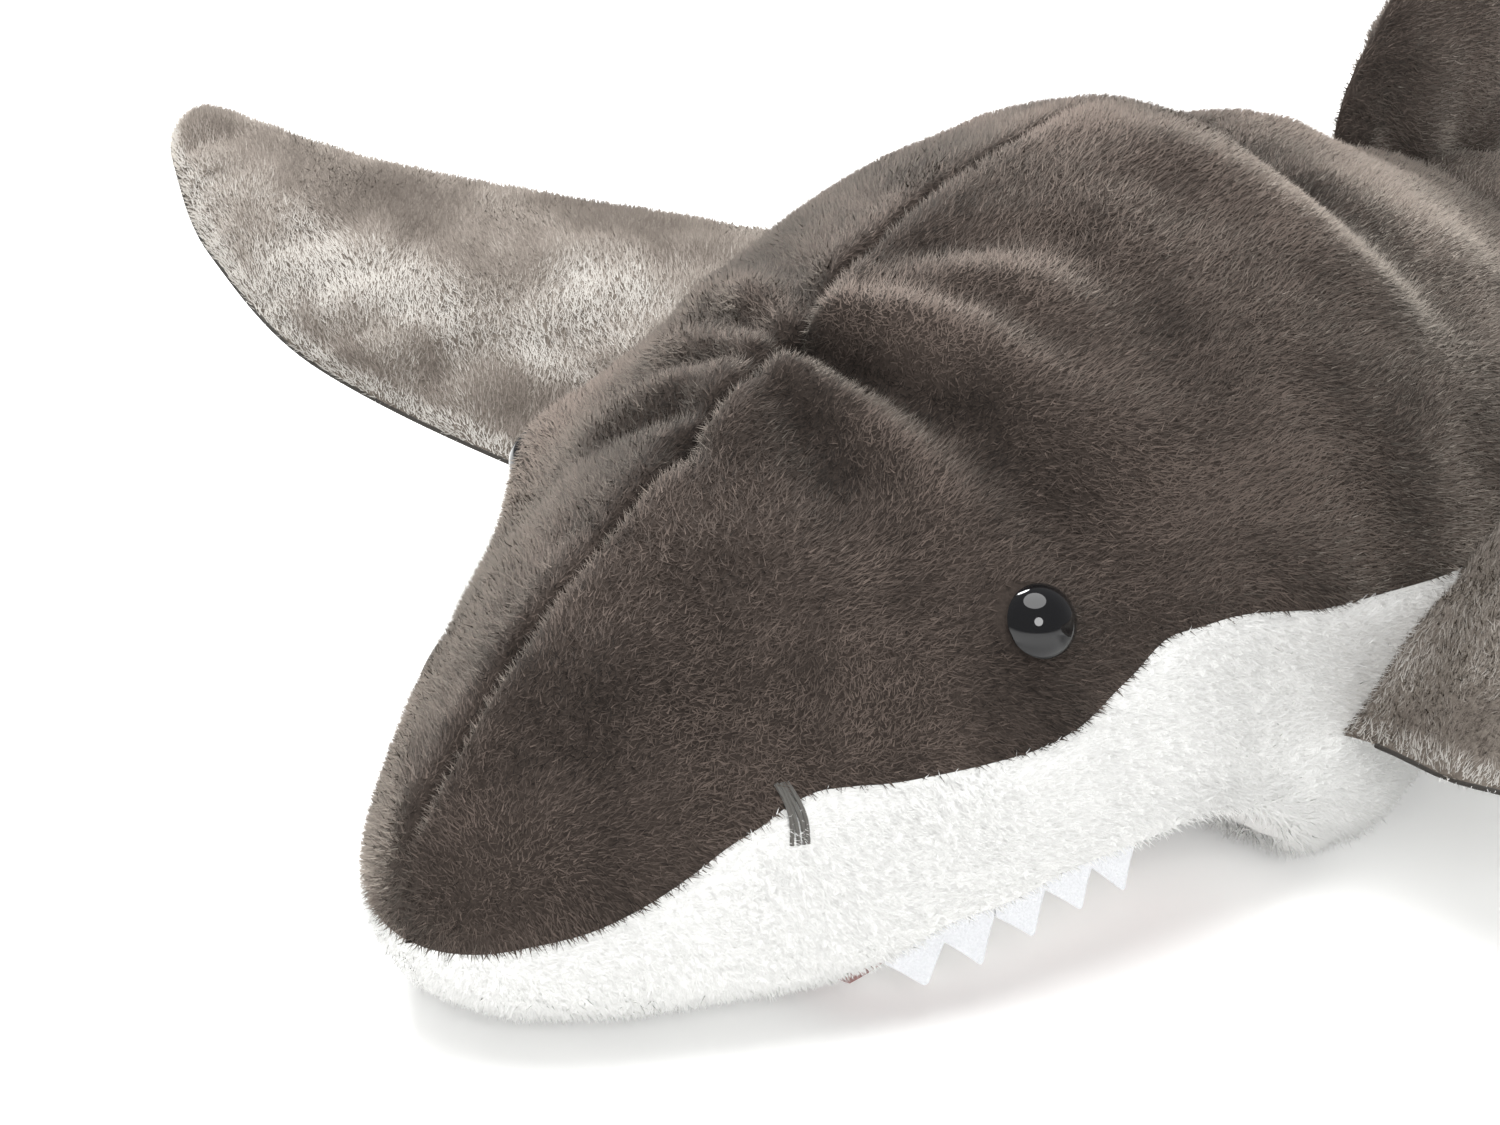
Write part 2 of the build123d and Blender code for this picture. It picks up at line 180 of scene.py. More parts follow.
# ---- Folds: lines on the skin with a height (a valley is negative) and a width ----
# each point: x, distance, height, fold height, fold width
FOLDS = (
    # near side, fanning out from the gather on the crown
    ((5, 133, 155, -2, 6), (22, 130, 148, -6, 10), (40, 125, 137, -6, 13), (64, 117, 112, -2, 18)),
    ((4, 140, 158, 1, 6), (23, 142, 156, 4, 8), (40, 145, 149, 4.5, 10), (62, 150, 134, 2, 14)),
    (
        (3, 149, 161, -7, 5), (19, 151, 158, -13, 8), (42, 154, 150, -10, 10),
        (72, 165, 131, -5, 15), (92, 175, 110, 0, 20),
    ),
    ((5, 161, 166, 3, 6), (24, 168, 166, 6, 9), (49, 180, 158, 5, 12), (75, 191, 141, 1, 16)),
    ((10, 178, 173, -1, 6), (33, 184, 168, -2.5, 9), (57, 196, 159, -2, 11), (75, 203, 146, 0, 14)),
    (
        (6, 174, 172, 1, 6), (24, 186, 172, 2.5, 8), (38, 203, 174, 3.5, 11),
        (60, 212, 162, 2, 14), (78, 216, 149, 0, 16),
    ),
    (
        (8, 186, 176, -2.5, 8), (24, 203, 179, -4.5, 11), (40, 222, 178, -4, 14),
        (75, 228, 152, -2, 18), (100, 236, 120, 0, 22),
    ),
    ((0, 268, 194, 1, 16), (30, 284, 189, 5, 17), (62, 308, 170, 4, 19), (95, 332, 130, 0, 24)),
    # far side
    (
        (-3, 161, 167, -6, 6), (-21, 174, 168, -6, 8),
        (-40, 188, 166, -3, 10), (-70, 205, 150, 0, 14),
    ),
    ((-8, 170, 170, 0, 8), (-26, 164, 163, 4, 9), (-48, 172, 155, 3, 12), (-75, 182, 135, 0, 15)),
    (
        (-3, 148, 161, -4, 5), (-20, 152, 158, -5.5, 7),
        (-42, 162, 153, -4, 9), (-75, 180, 135, -1, 12),
    ),
    ((-8, 143, 159, 2, 4), (-25, 146, 155, 3, 6), (-45, 153, 147, 2, 8), (-75, 165, 125, 0, 12)),
    (
        (-3, 139, 158, -2, 4), (-20, 137, 153, -4.5, 6),
        (-38, 137, 145, -4, 8), (-65, 140, 122, -1, 12),
    ),
    (
        (-6, 130, 154, 1, 5), (-22, 128, 149, 3.5, 7),
        (-42, 127, 138, 2.5, 9), (-70, 126, 114, 0, 12),
    ),
    ((-2, 118, 148, -3, 4), (-14, 117, 144, -4, 6), (-34, 113, 134, -3, 8), (-60, 108, 112, 0, 12)),
    # rear of the head: a slack fold right across the back, then a second rise
    (
        (-95, 345, 130, -1, 14), (-50, 345, 165, -5, 14), (0, 342, 184, -7, 14),
        (45, 338, 172, -9, 14), (85, 352, 140, -3, 18),
    ),
    ((-60, 392, 150, 2, 22), (0, 392, 169, 5, 24), (60, 395, 148, 3, 24), (100, 405, 105, 0, 24)),
    # belly and flank
    ((105, 300, 34, 3, 22), (122, 262, 22, 7, 24), (118, 240, 30, 4, 22)),
    (
        (70, 470, 110, -3, 14), (20, 478, 142, -2, 12),
        (-30, 474, 138, -2.5, 12), (-80, 470, 95, -2, 16),
    ),
    (
        (60, 600, 70, -2, 12), (15, 606, 116, -1.5, 10),
        (-20, 604, 112, -2, 10), (-60, 598, 60, -2, 14),
    ),
)
# pits in the seam: x, distance, height, depth, radius
PITS = (
    (1, 106, 141, 5.5, 7),
    (2, 150, 161, 6, 8),
    (-1, 136, 157, 2.5, 6),
)
# places where the pile is painted darker or lighter, painted highlights such as a bright rim along the
# crown and painted shade where the nap turns from the light: x, distance, height, shade, width
PAINTED_LIGHT_PATCHES = (
    (-38, 118, 130, -0.35, 32), (-32, 222, 180, -0.4, 40), (8, 268, 196, 0.45, 20),
    (-14, 150, 162, 0.3, 16), (48, 148, 146, 0.3, 14), (30, 170, 165, 0.25, 14), (60, 240, 165, 0.15, 45),
)
NOSTRIL = (71, 66)  # distance and height
BACK_SEAM_DEPTH = 2.4
COLOUR_SEAM_DEPTH = 1.0
EYE_PLACE = (87, 144, 101)  # of the left eye: x, distance, height
EYE_COLLAR = 3.2  # how far the cloth rises round an eye
EYE_CLEARANCE = 10.2  # no pile grows nearer than this to an eye's middle
# slack and drawn-in places on the shark's right: x, distance, height, lift, width
SWELLS = ((-84, 148, 107, 8.3, 25), (-58, 84, 92, -4.0, 38), (-30, 30, 60, -2.0, 30))


def segment_distance(points, a, b):
    """Distance from points to the stretch a-b, and how far along it the nearest place is."""
    run = b - a
    t = np.clip(((points - a) @ run) / (run @ run), 0, 1)
    return np.linalg.norm(points - a - t[..., None] * run, axis=-1), t


def fold_height(points):
    """How far the folds and pits lift (or sink) the skin at these points."""
    total = np.zeros(points.shape[:-1])
    for fold in FOLDS:
        line = np.array(fold, float)
        best = np.full(points.shape[:-1], 1e9)
        lift = np.zeros_like(best)
        for a, b in zip(line[:-1], line[1:]):
            gap, t = segment_distance(points, a[:3], b[:3])
            width = a[4] + t * (b[4] - a[4])
            value = (a[3] + t * (b[3] - a[3])) * np.exp(-((gap / width) ** 2))
            nearer = gap / width < best
            best = np.where(nearer, gap / width, best)
            lift = np.where(nearer, value, lift)
        total += lift
    for x, distance, height, lift, width in SWELLS:
        gap = np.linalg.norm(points - np.array([x, distance, height]), axis=-1)
        total += lift * np.exp(-((gap / width) ** 2))
    for x, distance, height, depth, radius in PITS:
        gap = np.linalg.norm(points - np.array([x, distance, height]), axis=-1)
        total -= depth * np.exp(-((gap / radius) ** 2))
    return total


def drift(points, scale, seed):
    """Smooth wandering values about 0, the same every run: a few sine waves of that size in mm."""
    rng = np.random.default_rng(seed)
    total = np.zeros(points.shape[:-1])
    for _ in range(7):
        direction = rng.normal(size=3)
        direction *= rng.uniform(0.6, 1.5) / np.linalg.norm(direction)
        total += np.sin(points @ direction * 2 * np.pi / scale + rng.uniform(0, 2 * np.pi))
    return total / 7 ** 0.5


def grid_normals(points, flip):
    """Outward normals of a grid of points."""
    n = np.cross(np.gradient(points, axis=0), np.gradient(points, axis=1)) * flip
    length = np.linalg.norm(n, axis=-1, keepdims=True)
    return n / np.maximum(length, 1e-9)


# ---- Meshes ----
def new_object(name, points, faces, smooth=True):
    """An object from points in millimetres and faces as lists of point numbers."""
    points = np.array(points, float).reshape(-1, 3)
    placed = (points + np.array([0, NOSE_Y, 0])) * MM
    mesh = bpy.data.meshes.new(name)
    mesh.from_pydata(placed.tolist(), [], faces)
    mesh.polygons.foreach_set("use_smooth", [smooth] * len(mesh.polygons))
    mesh.update()
    obj = bpy.data.objects.new(name, mesh)
    bpy.context.scene.collection.objects.link(obj)
    return obj


def grid_faces(rows, columns, flip=False, wrap=False):
    """Quads of a grid, whose points are numbered row by row."""
    faces = []
    for i in range(rows - 1):
        for j in range(columns if wrap else columns - 1):
            k = (j + 1) % columns
            quad = (i * columns + j, (i + 1) * columns + j, (i + 1) * columns + k, i * columns + k)
            faces.append(quad[::-1] if flip else quad)
    return faces


class Skin:
    """A cloth surface as a grid of points with normals, from which a mesh and its pile are made."""

    def __init__(self, points, flip, relief=0.0, from_seam=99.0):
        self.points = points
        self.flip = flip
        self.normals = grid_normals(points, -1 if flip else 1)
        self.relief = relief + 0 * points[..., 0]
        self.from_seam = from_seam + 0 * points[..., 0]

    def mesh(self, name, material):
        rows, columns = self.points.shape[:2]
        obj = new_object(name, self.points, grid_faces(rows, columns, self.flip))
        obj.data.materials.append(material)
        return obj

    def scatter(self, per_mm2, seed):
        """Random places all over the skin: points, normals and grid shares."""
        rng = np.random.default_rng(seed)
        p = self.points
        e1, e2 = p[1:, :-1] - p[:-1, :-1], p[:-1, 1:] - p[:-1, :-1]
        area = np.linalg.norm(np.cross(e1, e2), axis=-1)
        expected = area * per_mm2
        counts = np.floor(expected + rng.random(expected.shape)).astype(int)
        i, j = np.nonzero(counts)
        i, j = np.repeat(i, counts[i, j]), np.repeat(j, counts[np.nonzero(counts)])
        a, b = rng.random(len(i)), rng.random(len(i))

        def blend(grid):
            a_, b_ = (a, b) if grid.ndim == 2 else (a[:, None], b[:, None])
            return (
                grid[i, j] * (1 - a_) * (1 - b_)
                + grid[i + 1, j] * a_ * (1 - b_)
                + grid[i, j + 1] * (1 - a_) * b_
                + grid[i + 1, j + 1] * a_ * b_
            )

        normals = blend(self.normals)
        normals /= np.maximum(np.linalg.norm(normals, axis=1, keepdims=True), 1e-9)
        return blend(p), normals, blend(self.relief), blend(self.from_seam), rng


# ---- Cloth simulation ----
FRAMES = 20
PRESSURE = 4


def swell(sheets, flips, step, cap, ease):
    """How the filling moves sheets of cloth that are sewn together along their edges.

    Every step-th row and column is simulated as cloth under pressure, a little longer than the seams
    that hold it. Returns each sheet's movement, at most cap millimetres anywhere.
    """
    coarse = [sheet[::step, ::step] for sheet in sheets]
    faces, seams, first = [], [], 0
    for sheet, flip in zip(coarse, flips):
        rows, columns = sheet.shape[:2]
        faces += [tuple(first + k for k in face) for face in grid_faces(rows, columns, flip)]
        number = first + np.arange(rows * columns).reshape(rows, columns)
        seams += [number[0], number[-1], number[:, 0], number[:, -1]]
        first += rows * columns
    points = np.concatenate([sheet.reshape(-1, 3) for sheet in coarse])
    cloth_piece = new_object("swelling", points, faces)
    held = cloth_piece.vertex_groups.new(name="seams")
    held.add([int(k) for k in np.concatenate(seams)], 1.0, "REPLACE")
    cloth = cloth_piece.modifiers.new("Cloth", "CLOTH")
    cloth.settings.vertex_group_mass = "seams"
    cloth.settings.quality = 6
    cloth.settings.bending_stiffness = 0.5
    cloth.settings.use_pressure = True
    cloth.settings.uniform_pressure_force = PRESSURE
    cloth.settings.shrink_min = -ease
    cloth.settings.effector_weights.gravity = 0
    cloth.point_cache.frame_start = 1
    cloth.point_cache.frame_end = FRAMES
    for number in range(1, FRAMES + 1):
        bpy.context.scene.frame_set(number)
    before = np.empty(first * 3, np.float32)
    after = np.empty(first * 3, np.float32)
    cloth_piece.data.vertices.foreach_get("co", before)
    shaped = cloth_piece.evaluated_get(bpy.context.evaluated_depsgraph_get())
    shaped.data.vertices.foreach_get("co", after)
    bpy.context.scene.frame_set(1)
    bpy.data.objects.remove(cloth_piece)
    move = (after - before).reshape(-1, 3).astype(float) / MM
    length = np.maximum(np.linalg.norm(move, axis=1, keepdims=True), 1e-9)
    move *= cap * np.tanh(length / cap) / length
    moves, first = [], 0
    for sheet, fine in zip(coarse, sheets):
        rows, columns = sheet.shape[:2]
        part = move[first:first + rows * columns].reshape(rows, columns, 3)
        moves.append(finer(part, step)[:fine.shape[0], :fine.shape[1]])
        first += rows * columns
    return moves


def finer(grid, step):
    """The same grid with step times as many rows and columns, smoothed."""
    for _ in ("rows", "columns"):
        count = len(grid)
        place = np.arange((count - 1) * step + 1) / step
        low = np.minimum(place.astype(int), count - 2)
        share = (place - low)[:, None, None]
        grid = grid[low] * (1 - share) + grid[low + 1] * share
        for _ in range(2):
            grid[1:-1] = (grid[:-2] + 2 * grid[1:-1] + grid[2:]) / 4
        grid = grid.swapaxes(0, 1)
    return grid


# ---- The body's cloth ----


def body_sheet(side, upper, rows=301, columns=121):
    """The plain grid of one side's grey (upper) or white (lower) cloth."""
    step = np.linspace(0, 1, rows)
    distance = (step * BODY_END ** 0.5) ** 2
    edge = turn_at_height(distance, colour_height(distance))
    share = np.linspace(0, 1, columns)
    if upper:
        share = 0.3 * share + 0.7 * share ** 2  # finer towards the seam of the back
        share = share - 0.06 * np.sin(2 * np.pi * share)
        turn = edge[:, None] * share[None]
    else:
        turn = edge[:, None] + (np.pi - edge[:, None]) * share[None]
    return body_point(distance[:, None] + 0 * turn, turn, side)


def body_skin(side, upper, grid, move):
    """The cloth of one side with its swelling, folds, seams and hollows."""
    distance = grid[:, 0, 1]
    normals = grid_normals(grid, -side)
    from_top = np.cumsum(np.linalg.norm(np.diff(grid, axis=1, prepend=grid[:, :1]), axis=-1), axis=1)
    from_edge = from_top[:, -1:] - from_top if upper else from_top
    fade = smoothstep(0, 12, distance)[:, None]
    relief = fold_height(grid)
    height = relief - PILE_SKIN
    height -= COLOUR_SEAM_DEPTH * np.exp(-((from_edge / 3.5) ** 2)) * fade
    if upper:
        pucker = 1 + 0.35 * drift(grid, 26, 5)
        height -= BACK_SEAM_DEPTH * pucker * np.exp(-((from_top / 1.7) ** 2)) * fade
        height += 0.9 * np.exp(-(((from_top - 7) / 5) ** 2)) * fade
        from_eye = np.linalg.norm(grid - np.array([side * EYE_PLACE[0], *EYE_PLACE[1:]]), axis=-1)
        height += EYE_COLLAR * np.exp(-((from_eye / 16) ** 2))
    height += 0.5 * drift(grid, 70, 11) * fade + 0.25 * drift(grid, 24, 12) * fade
    grid = grid + move + normals * height[..., None]
    grid[..., 2] = np.maximum(grid[..., 2], FLOOR_GAP)
    if upper:
        grid[:, 0, 0] = 0
    else:
        grid[:, -1, 0] = 0
    return Skin(grid, side > 0, relief, np.minimum(from_top, from_edge) if upper else from_edge)


# ---- Materials ----
def principled(name, colour, roughness, **sockets):
    """A material with its constant values on the shader's own sockets."""
    material = bpy.data.materials.new(name)
    material.use_nodes = True
    shader = material.node_tree.nodes["Principled BSDF"]
    shader.inputs["Base Color"].default_value = (*colour, 1)
    shader.inputs["Roughness"].default_value = roughness
    for socket, value in sockets.items():
        shader.inputs[socket.replace("_", " ")].default_value = value
    return material, shader


def fleece_material(name, dark, light, grain_mm=1.1, sheen=0.5, tint=(1, 1, 1, 1)):
    """Brushed pile seen from afar: mottled in broad patches and in a fine grain."""
    material, shader = principled(
        name, light, 0.95, Sheen_Weight=sheen, Sheen_Roughness=0.45, Sheen_Tint=tint,
        Specular_IOR_Level=0.15,
    )
    nodes, links = material.node_tree.nodes, material.node_tree.links
    place = nodes.new("ShaderNodeTexCoord")
    broad = nodes.new("ShaderNodeTexNoise")
    broad.inputs["Scale"].default_value = 28
    broad.inputs["Detail"].default_value = 3
    fine = nodes.new("ShaderNodeTexNoise")
    fine.inputs["Scale"].default_value = 1000 / grain_mm
    fine.inputs["Detail"].default_value = 4
    for noise in (broad, fine):
        links.new(place.outputs["Object"], noise.inputs["Vector"])
    mix = nodes.new("ShaderNodeMix")
    mix.data_type = "FLOAT"
    mix.inputs["Factor"].default_value = 0.55
    links.new(broad.outputs["Fac"], mix.inputs["A"])
    links.new(fine.outputs["Fac"], mix.inputs["B"])
    ramp = nodes.new("ShaderNodeValToRGB")
    ramp.color_ramp.elements[0].position = 0.36
    ramp.color_ramp.elements[0].color = (*dark, 1)
    ramp.color_ramp.elements[1].position = 0.64
    ramp.color_ramp.elements[1].color = (*light, 1)
    links.new(mix.outputs["Result"], ramp.inputs["Fac"])
    links.new(ramp.outputs["Color"], shader.inputs["Base Color"])
    bump = nodes.new("ShaderNodeBump")
    bump.inputs["Strength"].default_value = 0.5
    bump.inputs["Distance"].default_value = 0.0008
    links.new(fine.outputs["Fac"], bump.inputs["Height"])
    links.new(bump.outputs["Normal"], shader.inputs["Normal"])
    return material


def pile_materials(name, colours, sheen, tint=(1, 1, 1, 1)):
    """One plain material for each shade of a fibre."""
    made = []
    for i, colour in enumerate(colours):
        material, _ = principled(
            f"{name}_{i + 1}", colour, 0.9, Sheen_Weight=sheen, Sheen_Roughness=0.4, Sheen_Tint=tint,
            Specular_IOR_Level=0.2,
        )
        made.append(material)
    return made


def shades(colour, factors):
    return [tuple(c * f for c in colour) for f in factors]


GREY = (0.086, 0.0665, 0.0565)
WHITE = (0.91, 0.91, 0.895)
GREY_TINT = (1.0, 0.9, 0.78, 1)
grey_cloth = fleece_material("grey_fleece", *shades(GREY, [0.35, 0.7]), sheen=0.2, tint=GREY_TINT)
white_cloth = fleece_material("white_fleece", (0.8, 0.8, 0.785), (0.88, 0.88, 0.865), sheen=0.1)
GREY_FACTORS = (0.22, 0.5, 0.78, 0.98, 1.22, 1.65)
WHITE_FACTORS = (0.95, 0.99, 1.02)
grey_pile = pile_materials("grey_pile", shades(GREY, GREY_FACTORS), 0.3, GREY_TINT)
white_pile = pile_materials("white_pile", shades(WHITE, WHITE_FACTORS), 0.1)


# ---- Pile ----
FIBRE_ROOT = 0.3  # how deep in the cloth a fibre starts


def pile(
    name, skin, materials, per_mm2, length, width, lean, seed, nap,
    keep=None, longer=None, paler=None, mottle=0.16, grain=0.2, unevenness=0.13,
):
    """Fibres all over a skin: thin leaves that lie with the nap, with painted shade in fold valleys and a
    painted highlight on fold ridges.

    keep, longer and paler take points and give the share of fibres kept there, a factor for their
    length, and a step towards the paler materials.
    """
    base, normal, relief, from_seam, rng = skin.scatter(per_mm2, seed)
    share_kept = 1 if keep is None else keep(base)
    chosen = rng.random(len(base)) < smoothstep(0.1, 0.9, from_seam) * share_kept
    base, normal, relief = base[chosen], normal[chosen], relief[chosen]
    count = len(base)
    swirl = np.stack([drift(base, 55, seed + k) for k in (1, 2, 3)], -1)
    stray = rng.normal(size=(count, 3))
    flow = np.array(nap, float) + 0.45 * swirl + 0.5 * stray
    flow -= (flow * normal).sum(1, keepdims=True) * normal
    flow /= np.maximum(np.linalg.norm(flow, axis=1, keepdims=True), 1e-6)
    angle = np.radians(lean + 12 * rng.normal(size=count))[:, None]
    direction = normal * np.cos(angle) + flow * np.sin(angle)
    reach = (length * (0.75 + 0.5 * rng.random(count)))[:, None]
    if longer is not None:
        reach = reach * longer(base)[:, None]
    across = np.cross(direction, normal)
    across /= np.maximum(np.linalg.norm(across, axis=1, keepdims=True), 1e-6)
    across = across + 0.4 * np.cross(across, direction) * rng.normal(size=(count, 1))
    half = width / 2 * (0.7 + 0.6 * rng.random((count, 1)))
    tip = base + direction * reach
    points = np.empty((count, 3, 3))
    points[:, 0] = base - normal * FIBRE_ROOT - across * half
    points[:, 1] = base - normal * FIBRE_ROOT + across * half
    points[:, 2] = tip
    facing = np.cross(points[:, 1] - points[:, 0], points[:, 2] - points[:, 0])
    wrong = (facing * normal).sum(1) < 0
    points[wrong] = points[wrong][:, ::-1]
    placed = ((points.reshape(-1, 3) + np.array([0, NOSE_Y, 0])) * MM).astype(np.float32)
    placed[:, 2] = np.maximum(placed[:, 2], PILE_FLOOR_GAP * MM)

    mesh = bpy.data.meshes.new(name)
    mesh.vertices.add(count * 3)
    mesh.loops.add(count * 3)
    mesh.polygons.add(count)
    mesh.vertices.foreach_set("co", placed.ravel())
    mesh.loops.foreach_set("vertex_index", np.arange(count * 3, dtype=np.int32))
    mesh.polygons.foreach_set("loop_start", np.arange(0, count * 3, 3, dtype=np.int32))
    mesh.polygons.foreach_set("use_smooth", np.ones(count, bool))
    mood = 0.55 + mottle * (drift(base, 75, seed + 9) + 0.6 * drift(base, 22, seed + 10))
    # painted shade: the pile is darker in fold valleys; painted highlight: it is lighter on fold ridges
    painted_fold_shade = 0.055 * np.clip(relief, -11, 0)
    mood += grain * rng.normal(size=count) + painted_fold_shade + 0.1 * np.clip(relief, 0, 5)
    # painted highlights and painted shade in patches
    for x, distance, height, shift, spread in PAINTED_LIGHT_PATCHES:
        gap = np.linalg.norm(base - np.array([x, distance, height]), axis=1)
        mood += shift * np.exp(-((gap / spread) ** 2))
    if paler is not None:
        mood += paler(base)
    number = np.clip((mood * len(materials)).astype(int), 0, len(materials) - 1)
    mesh.polygons.foreach_set("material_index", number.astype(np.int32))
    for material in materials:
        mesh.materials.append(material)
    mesh.update()
    lit = 0.8 * normal + 0.3 * direction + unevenness * rng.normal(size=(count, 3))
    lit /= np.linalg.norm(lit, axis=1, keepdims=True)
    mesh.normals_split_custom_set(np.repeat(lit, 3, axis=0).tolist())
    obj = bpy.data.objects.new(name, mesh)
    bpy.context.scene.collection.objects.link(obj)
    return obj


def away_from_eyes(points):
    """1 where pile grows, and 0 under the eyes."""
    gap = np.minimum(
        np.linalg.norm(points - np.array(EYE_PLACE), axis=1),
        np.linalg.norm(points - np.array([-EYE_PLACE[0], *EYE_PLACE[1:]]), axis=1),
    )
    return (gap > EYE_CLEARANCE).astype(float)


def back_density(points):
    """Densest over the head; none under the eyes."""
    return away_from_eyes(points) * (1 - 0.55 * smoothstep(380, 460, points[:, 1]))


def belly_density(points):
    """Densest on the cheeks; none on the roof of the mouth, and little underneath."""
    x, distance, z = np.abs(points[:, 0]), points[:, 1], points[:, 2]
    in_mouth = (distance > 88) & (distance < 228) & (x < lip_edge(np.clip(distance, 86, 250)) - 7)
    in_mouth &= z < lip_curve(distance) + 3
    underneath = 1 - 0.75 * smoothstep(6, 2, z) * (x < 100)
    return np.where(in_mouth, 0, underneath * (1 - 0.5 * smoothstep(380, 460, distance)))


def lip_fringe(points):
    """Longer fibres along the lower edge behind the mouth's corner."""
    distance, z = points[:, 1], points[:, 2]
    near_edge = smoothstep(16, 3, z - np.maximum(lip_height(distance), 0))
    return 1 + 1.1 * near_edge * smoothstep(165, 200, distance)


def bend_tail(*pieces):
    """Bakes each piece's placement into its mesh."""
    for piece in pieces:
        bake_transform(piece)


NAP_BACK = (0, 1.0, -0.35)
quarters = [(side, upper) for side in (1, -1) for upper in (True, False)]
sheets = [body_sheet(side, upper) for side, upper in quarters]
moves = swell(sheets, [side > 0 for side, _ in quarters], step=4, cap=3.0, ease=0.015)
skins = {
    quarter: body_skin(*quarter, sheet, move) for quarter, sheet, move in zip(quarters, sheets, moves)
}
for side, word in ((1, "left"), (-1, "right")):
    upper = skins[side, True]
    back = upper.mesh(f"back_cloth_{word}", grey_cloth)
    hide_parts(f"back_panel_{word}", f"tail_panel_{word}")
    back_pile = pile(
        f"back_pile_{word}", upper, grey_pile, 1.7, 3.1, 0.42, 54, 21 + side, NAP_BACK, keep=back_density
    )
    lower = skins[side, False]
    belly = lower.mesh(f"belly_cloth_{word}", white_cloth)
    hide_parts(f"cheek_panel_{word}")
    belly_pile = pile(
        f"belly_pile_{word}", lower, white_pile, 1.5, 3.0, 0.42, 54, 31 + side, NAP_BACK,
        keep=belly_density, longer=lip_fringe, unevenness=0.07,
    )
    if side > 0:
        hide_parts("belly_panel", "tail_belly_panel", "throat_panel")
        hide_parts("body_filling", "tail_filling")
    bend_tail(back, back_pile, belly, belly_pile)

# ---- Fins ----
# Sections: distance out from the root, leading edge, trailing edge and thickness
PECTORAL_ROOT = (133, 238, 49)
PECTORAL = (
    (-14, 0, 170, 8), (5, -3, 168, 12), (45, -17, 148, 29), (134, -26, 105, 28), (215, -8, 70, 21),
    (262, 16, 58, 14), (284, 32, 53, 9), (289, 40, 49, 3),
)
DORSAL_ROOT = (0, 434, 158)
DORSAL = (
    (-10, 0, 139, 8), (5, 1, 138, 12), (40, 18, 126, 25), (75, 48, 116, 20), (105, 80, 117, 12),
    (123, 104, 115, 3),
)
CAUDAL = (
    (5, 833, 843, 3), (28, 806, 838, 14), (66, 786, 828, 23), (105, 794, 834, 22), (150, 816, 852, 17),
    (195, 846, 872, 9), (217, 869, 878, 3),
)


def unit(vector):
    vector = np.array(vector, float)
    return vector / np.linalg.norm(vector)


def fin_sheet(sections, root, chord, outwards, face, rows=113, columns=61, seed=0):
    """One face of a stuffed fin, from its root to its tip and from its leading to its trailing edge."""
    table = np.array(sections, float)
    leading, trailing, thickness = [curve(table[:, (0, k)]) for k in (1, 2, 3)]
    up = np.cross(outwards, chord)
    step = np.linspace(0, 1, rows)[:, None]
    reach = table[0, 0] + (table[-1, 0] - table[0, 0]) * (1 - (1 - step) ** 1.5)
    share = (1 - np.cos(np.pi * np.linspace(0, 1, columns)))[None] / 2
    left = table[-1, 0] - reach
    tip = np.sqrt(1 - (1 - np.clip(left / 7, 0, 1)) ** 2)
    front, rear = leading(reach), trailing(reach)
    middle = (front + rear) / 2
    spread = (rear - front) * (0.35 + 0.65 * tip)
    across = middle + spread * (share - 0.5)
    to_edge = np.minimum(np.minimum(share, 1 - share) * spread, left)
    flat = np.stack([reach + 0 * across, across, 0 * across], -1)
    puckers = 0.5 * np.sin((reach + 7 * drift(flat, 60, seed)) / 2.3)
    fullness = (4 * share * (1 - share)) ** 0.62
    half = thickness(reach) / 2 * fullness * tip
    half = half + puckers * np.exp(-to_edge / 7) * smoothstep(0, 3, to_edge)
    points = np.array(root, float) + reach[..., None] * outwards + across[..., None] * chord
    wander = 1.6 * drift(points, 75, seed + 1) + 0.8 * drift(points, 28, seed + 2)
    half = half + wander * smoothstep(0, 14, to_edge) * 0.7
    return points + (face * half)[..., None] * up


def fin_skins(sections, root, chord, outwards, seed, ease=0.012):
    """Both faces of a swelled fin, first the one on the side that outwards x chord points to."""
    sheets = [fin_sheet(sections, root, chord, outwards, face, seed=seed + face) for face in (1, -1)]
    moves = swell(sheets, [False, True], step=2, cap=3.5, ease=ease)
    return [Skin(sheet + move, flip) for sheet, move, flip in zip(sheets, moves, (False, True))]


def strand(points, faces, line, radius, sides=8):
    """Adds a thread along a line to these points and faces."""
    line = np.array(line, float)
    along_line = np.gradient(line, axis=0)
    along_line /= np.linalg.norm(along_line, axis=1, keepdims=True)
    first = np.cross(along_line, (0, 1.0, 0.2))
    first /= np.linalg.norm(first, axis=1, keepdims=True)
    second = np.cross(along_line, first)
    turn = np.linspace(0, 2 * np.pi, sides, endpoint=False)
    base = len(points)
    for i, centre in enumerate(line):
        for angle in turn:
            points.append(centre + radius * (np.cos(angle) * first[i] + np.sin(angle) * second[i]))
    for face in grid_faces(len(line), sides, wrap=True):
        faces.append(tuple(base + k for k in face))


def bend_fin(piece, root):
    """Bakes a fin's piece's placement into its mesh; root is not used."""
    root = np.array(root, float)
    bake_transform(piece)


# painted light: the fins' cloth is a lit copy of the grey cloth, several times lighter than the body's
lit_fin_cloth = fleece_material(
    "lit_fin_fleece", (0.1, 0.083, 0.07), (0.19, 0.166, 0.142), sheen=0.2, tint=GREY_TINT
)
# a thin dark line for each side fin's leading edge
fin_edge_dark_line, _ = principled("fin_edge_dark_line", (0.03, 0.026, 0.022), 0.8)
# painted light: the fins' pile is a lit copy of the body's grey pile, several times lighter
FIN_LIT_SHADES = (
    (0.07, 0.056, 0.047), (0.11, 0.092, 0.078), (0.165, 0.14, 0.122),
    (0.235, 0.21, 0.185), (0.32, 0.295, 0.268), (0.42, 0.4, 0.37),
)
